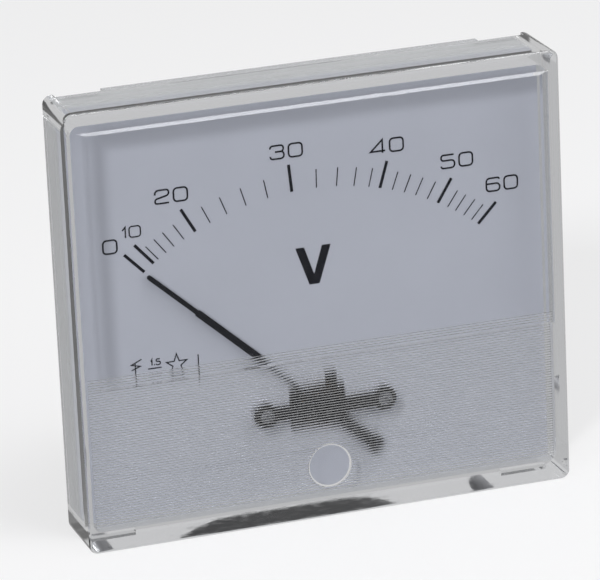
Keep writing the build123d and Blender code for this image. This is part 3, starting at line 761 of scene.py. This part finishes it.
def axes(tree, vector):
    """The X, Y and Z of a vector."""
    node = tree.nodes.new("ShaderNodeSeparateXYZ")
    feed(tree, node.inputs["Vector"], vector)
    return node.outputs


def mix_shaders(tree, share, first, second):
    """A mix of two shaders. A share of one shows the second alone."""
    mix = tree.nodes.new("ShaderNodeMixShader")
    feed(tree, mix.inputs["Fac"], share)
    feed(tree, mix.inputs[1], first)
    feed(tree, mix.inputs[2], second)
    return mix.outputs["Shader"]


cover_surface = cover_tree.nodes.new("ShaderNodeTexCoord").outputs
cover_place = axes(cover_tree, cover_surface["Object"])
facing_front = arithmetic(cover_tree, "ABSOLUTE", axes(cover_tree, cover_surface["Normal"])["Y"])
wall_clear = stretch(cover_tree, facing_front, WALL_CLEAR, FRONT_CLEAR, 0.0, 1.0)
from_middle = arithmetic(cover_tree, "ABSOLUTE", cover_place["X"])
past_side = arithmetic(cover_tree, "GREATER_THAN", from_middle, WINDOW_SIDE)
above_foot = arithmetic(cover_tree, "GREATER_THAN", cover_place["Z"], WINDOW_FOOT)
past_top = arithmetic(cover_tree, "GREATER_THAN", cover_place["Z"], WINDOW_TOP)
beside_window = arithmetic(cover_tree, "MULTIPLY", past_side, above_foot)
round_window = arithmetic(cover_tree, "MAXIMUM", beside_window, past_top)
in_front = arithmetic(cover_tree, "LESS_THAN", cover_place["Y"], cover_low.y + RIM_DEPTH)
in_rim = arithmetic(cover_tree, "MULTIPLY", in_front, round_window)
rim_loss = arithmetic(cover_tree, "MULTIPLY", in_rim, 1.0 - RIM_CLEAR)
rim_clear = arithmetic(cover_tree, "SUBTRACT", 1.0, rim_loss)
open_air = cover_tree.nodes.new("ShaderNodeBsdfTransparent")
feed(cover_tree, open_air.inputs["Color"], arithmetic(cover_tree, "MULTIPLY", wall_clear, rim_clear))

across = cover_tree.nodes.new("ShaderNodeVectorMath")
across.operation = "MULTIPLY"
across.inputs[1].default_value = ACROSS_AND_UP
feed(cover_tree, across.inputs[0], cover_surface["Object"])
# Painted highlight: a thin ring of emission on the boss's edge, seen by every ray
from_boss = cover_tree.nodes.new("ShaderNodeVectorMath")
from_boss.operation = "DISTANCE"
from_boss.inputs[1].default_value = BOSS_CENTRE
feed(cover_tree, from_boss.inputs[0], across.outputs["Vector"])
from_edge = arithmetic(cover_tree, "SUBTRACT", from_boss.outputs["Value"], BOSS_EDGE_R)
from_edge = arithmetic(cover_tree, "ABSOLUTE", from_edge)
on_edge = arithmetic(cover_tree, "LESS_THAN", from_edge, BOSS_EDGE_WIDTH)
inside = arithmetic(cover_tree, "GREATER_THAN", cover_place["Y"], cover_low.y + BOSS_EDGE_DEPTH)
painted_boss_ring = arithmetic(cover_tree, "MULTIPLY", on_edge, inside)
painted_ring_tone = arithmetic(cover_tree, "MULTIPLY", painted_boss_ring, PAINTED_BOSS_HIGHLIGHT)
# Painted glow: emission, dim in the front wall and brighter behind it, shown where light has turned round
# in the cover many times
wall_back = cover_low.y + FRONT_WALL
painted_glow_tone = stretch(
    cover_tree, cover_place["Y"], PAINTED_GLOW_IN_FRONT, PAINTED_GLOW_IN_SIDES, wall_back, wall_back + PAINTED_GLOW_BLEND
)
painted_glow = cover_tree.nodes.new("ShaderNodeEmission")
feed(cover_tree, painted_glow.inputs["Color"], arithmetic(cover_tree, "MAXIMUM", painted_glow_tone, painted_ring_tone))

light_path = cover_tree.nodes.new("ShaderNodeLightPath").outputs
lighting = arithmetic(cover_tree, "MAXIMUM", light_path["Is Shadow Ray"], light_path["Is Diffuse Ray"])
# Past a few turns the clear acrylic is swapped for the painted glow, and so is the painted boss ring
many_turns = arithmetic(cover_tree, "GREATER_THAN", light_path["Glossy Depth"], TURNS_BEFORE_PAINTED_GLOW)
painted_glow_mask = arithmetic(cover_tree, "MAXIMUM", many_turns, painted_boss_ring)
clear_shader = cover_tree.nodes["Principled BSDF"].outputs["BSDF"]
lets_through = mix_shaders(cover_tree, lighting, clear_shader, open_air.outputs["BSDF"])
cover_shader = mix_shaders(cover_tree, painted_glow_mask, lets_through, painted_glow.outputs["Emission"])
feed(cover_tree, cover_tree.nodes["Material Output"].inputs["Surface"], cover_shader)
clear_acrylic.cycles.emission_sampling = "NONE"
dress(clear_acrylic, "front_cover")


# Studio: the meter stands on pale paper in a white sweep. Seen in gloss or through clear plastic,
# the paper is dark in front of the meter and mid grey behind it and through the ribs, and the
# room round the sweep is grey, and dark on the right-hand side.
FLOOR_SIZE = 6.0
FLOOR_GAP = 0.2 * MM
PAPER_GLOW = 0.6
PAPER_BEHIND = 0.5
PAPER_IN_FRONT = 0.05
PAPER_THROUGH_RIBS = 0.36
TURNS_THROUGH_RIBS = 1.5
SHADE_FROM = -16.0 * MM
SHADE_TO = -35.0 * MM
WHITE = (1.0, 1.0, 1.0, 1.0)
ROOM_LIGHT = 0.35
ROOM_GREY = 0.6
ROOM_DARK = 0.04
DARK_FROM = 0.5
DARK_TO = 0.8


def by_ray(tree, to_object, to_gloss, to_eye):
    """Shows one shader to the lit object, one to gloss and clear plastic, and one to the eye."""
    path = tree.nodes.new("ShaderNodeLightPath").outputs
    gloss = arithmetic(tree, "MAXIMUM", path["Is Glossy Ray"], path["Is Transmission Ray"])
    unseen = mix_shaders(tree, gloss, to_object, to_gloss)
    return mix_shaders(tree, path["Is Camera Ray"], unseen, to_eye)


floor_sheet = bmesh.new()
bmesh.ops.create_grid(floor_sheet, x_segments=1, y_segments=1, size=FLOOR_SIZE / 2)
bmesh.ops.translate(floor_sheet, verts=floor_sheet.verts[:], vec=(0.0, 0.0, cover_low.z - FLOOR_GAP))
floor_mesh = bpy.data.meshes.new("floor")
floor_sheet.to_mesh(floor_mesh)
floor_sheet.free()
floor = bpy.data.objects.new("floor", floor_mesh)
bpy.context.scene.collection.objects.link(floor)

floor_paper = bpy.data.materials.new("floor_paper")
floor_paper.use_nodes = True
floor_mesh.materials.append(floor_paper)
paper_tree = floor_paper.node_tree
paper_shader = paper_tree.nodes["Principled BSDF"]
paper_shader.inputs["Base Color"].default_value = screen_tone(232, 232, 234)
paper_shader.inputs["Roughness"].default_value = 0.9
paper_shader.inputs["Specular IOR Level"].default_value = 0.1
paper_white = paper_tree.nodes.new("ShaderNodeEmission").outputs["Emission"]
paper_seen = mix_shaders(paper_tree, PAPER_GLOW, paper_shader.outputs["BSDF"], paper_white)
paper_bounce = paper_tree.nodes.new("ShaderNodeBsdfDiffuse")
paper_bounce.inputs["Color"].default_value = screen_tone(136, 136, 139)
paper_turns = paper_tree.nodes.new("ShaderNodeLightPath").outputs["Glossy Depth"]
through_ribs = arithmetic(paper_tree, "GREATER_THAN", paper_turns, TURNS_THROUGH_RIBS)
ribs_gain = arithmetic(paper_tree, "MULTIPLY", through_ribs, PAPER_THROUGH_RIBS - PAPER_IN_FRONT)
front_tone = arithmetic(paper_tree, "ADD", ribs_gain, PAPER_IN_FRONT)
paper_place = axes(paper_tree, paper_tree.nodes.new("ShaderNodeTexCoord").outputs["Object"])
paper_tone = stretch(paper_tree, paper_place["Y"], front_tone, PAPER_BEHIND, SHADE_TO, SHADE_FROM)
paper_grey = paper_tree.nodes.new("ShaderNodeEmission")
feed(paper_tree, paper_grey.inputs["Color"], paper_tone)
paper_surface = by_ray(
    paper_tree, paper_bounce.outputs["BSDF"], paper_grey.outputs["Emission"], paper_seen
)
feed(paper_tree, paper_tree.nodes["Material Output"].inputs["Surface"], paper_surface)

world = bpy.data.worlds.new("studio")
world.use_nodes = True
bpy.context.scene.world = world
world_tree = world.node_tree
room_light = world_tree.nodes["Background"]
room_light.inputs["Color"].default_value = WHITE
room_light.inputs["Strength"].default_value = ROOM_LIGHT
sweep_white = world_tree.nodes.new("ShaderNodeBackground")
sweep_white.inputs["Color"].default_value = WHITE
room_grey = world_tree.nodes.new("ShaderNodeBackground")
aim = axes(world_tree, world_tree.nodes.new("ShaderNodeTexCoord").outputs["Generated"])
room_tone = stretch(world_tree, aim["X"], ROOM_GREY, ROOM_DARK, DARK_FROM, DARK_TO)
feed(world_tree, room_grey.inputs["Color"], room_tone)
backgrounds = [node.outputs["Background"] for node in (room_light, room_grey, sweep_white)]
feed(world_tree, world_tree.nodes["World Output"].inputs["Surface"], by_ray(world_tree, *backgrounds))


def soft_lamp(name, position, size, power):
    """A square soft box that looks at the middle of the meter."""
    lamp = bpy.data.lights.new(name, "AREA")
    lamp.shape = "SQUARE"
    lamp.size = size
    lamp.energy = power
    holder = bpy.data.objects.new(name, lamp)
    holder.location = position
    holder.rotation_mode = "QUATERNION"
    holder.rotation_quaternion = Vector(position).to_track_quat("Z", "Y")
    holder.visible_transmission = False
    bpy.context.scene.collection.objects.link(holder)


soft_lamp("key_lamp", position=(-1.3, -1.44, 1.03), size=0.29, power=31.5)
soft_lamp("overhead_lamp", position=(0.26, -0.28, 0.81), size=0.36, power=2.9)
soft_lamp("fill_lamp", position=(0.7, -0.8, 0.3), size=0.6, power=2.9)


# Camera: a long lens in front of the meter, a little above it and to its left, and tilted a
# little. Its place is measured from the middle of the cover's front, behind the raised window.
CAMERA_AZIMUTH = -17.69
CAMERA_ELEVATION = 18.42
CAMERA_ROLL = -2.66
CAMERA_DISTANCE = 830.27 * MM
CAMERA_RIGHT = -4.28 * MM
CAMERA_UP = 2.17 * MM
WINDOW_RISE = 0.5 * MM
FOCAL_PIXELS = 4754.17
IMAGE_WIDTH = 600
SENSOR = 36.0
turn = math.radians(CAMERA_AZIMUTH)
rise = math.radians(CAMERA_ELEVATION)
tilt = math.radians(CAMERA_ROLL)
back = Vector((math.sin(turn) * math.cos(rise), -math.cos(turn) * math.cos(rise), math.sin(rise)))
level = Vector((0.0, 0.0, 1.0)).cross(back).normalized()
upright = back.cross(level)
right = math.cos(tilt) * level + math.sin(tilt) * upright
up = -math.sin(tilt) * level + math.cos(tilt) * upright
face_centre = Vector((0.0, cover_low.y + WINDOW_RISE, 0.0))
spot = face_centre + back * CAMERA_DISTANCE + right * CAMERA_RIGHT + up * CAMERA_UP
lens = bpy.data.cameras.new("camera")
lens.sensor_width = SENSOR
lens.lens = FOCAL_PIXELS * SENSOR / IMAGE_WIDTH
camera = bpy.data.objects.new("camera", lens)
camera.matrix_world = Matrix.Translation(spot) @ Matrix((right, up, back)).transposed().to_4x4()
bpy.context.scene.collection.objects.link(camera)
bpy.context.scene.camera = camera
bpy.context.scene.view_settings.view_transform = "Standard"
